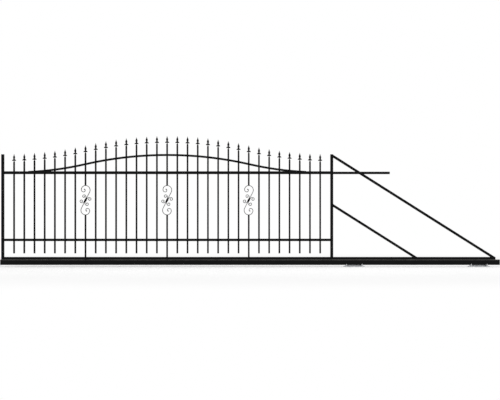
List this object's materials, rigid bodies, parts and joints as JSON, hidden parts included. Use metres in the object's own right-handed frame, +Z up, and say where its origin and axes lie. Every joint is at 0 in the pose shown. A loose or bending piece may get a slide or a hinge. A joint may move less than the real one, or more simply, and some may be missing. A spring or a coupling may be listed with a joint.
{
  "type": "sliding driveway gate",
  "caption": "Cantilever sliding driveway gate: arched picket leaf with spear heads and scrolls on a C-rail, with a braced tail, running on two roller carriages bolted to the ground.",
  "frame": {"origin": "centre of the front carriage's foot plate, on its underside", "axes": "+X along the rail, the way the gate opens; -Y the street side with the pickets; +Z up"},
  "size_m": [6, 0.12, 1.574],
  "materials": {
    "black_paint": "black satin powder coat on steel tube",
    "forged_black": "black paint over forged and bent steel",
    "black_plastic": "moulded black plastic end cap",
    "zinc_steel": "zinc plated steel",
    "roller_steel": "ground bearing steel"
  },
  "bodies": {
    "carriages": {"front_foot_plate": "zinc_steel", "front_web": "zinc_steel", "rear_foot_plate": "zinc_steel", "rear_web": "zinc_steel", "rollers": "roller_steel"},
    "leaf": {"running_rail": "black_paint", "rail_end_caps": "black_plastic", "left_stile": "black_paint", "right_stile": "black_paint", "stile_caps": "black_plastic", "bottom_tube": "black_paint", "lower_rail": "black_paint", "top_rail": "black_paint", "arch_rail": "black_paint", "tail_tube": "black_paint", "tail_tube_cap": "black_plastic", "long_brace": "black_paint", "short_brace": "black_paint", "guide_bar": "black_paint", "guide_bar_cap": "black_plastic", "pickets_bay_1": "black_paint", "spear_heads_bay_1": "forged_black", "pickets_bay_2": "black_paint", "spear_heads_bay_2": "forged_black", "pickets_bay_3": "black_paint", "spear_heads_bay_3": "forged_black", "pickets_bay_4": "black_paint", "spear_heads_bay_4": "forged_black", "scroll_bars": "black_paint", "scroll_bar_spear_heads": "forged_black", "s_scrolls": "forged_black", "side_scrolls": "forged_black", "scroll_collars": "forged_black"}
  },
  "joints": [
    {"name": "leaf_slide", "type": "slide", "parent": "carriages", "child": "leaf", "axis": [1, 0, 0], "range_m": [0, 4]}
  ]
}
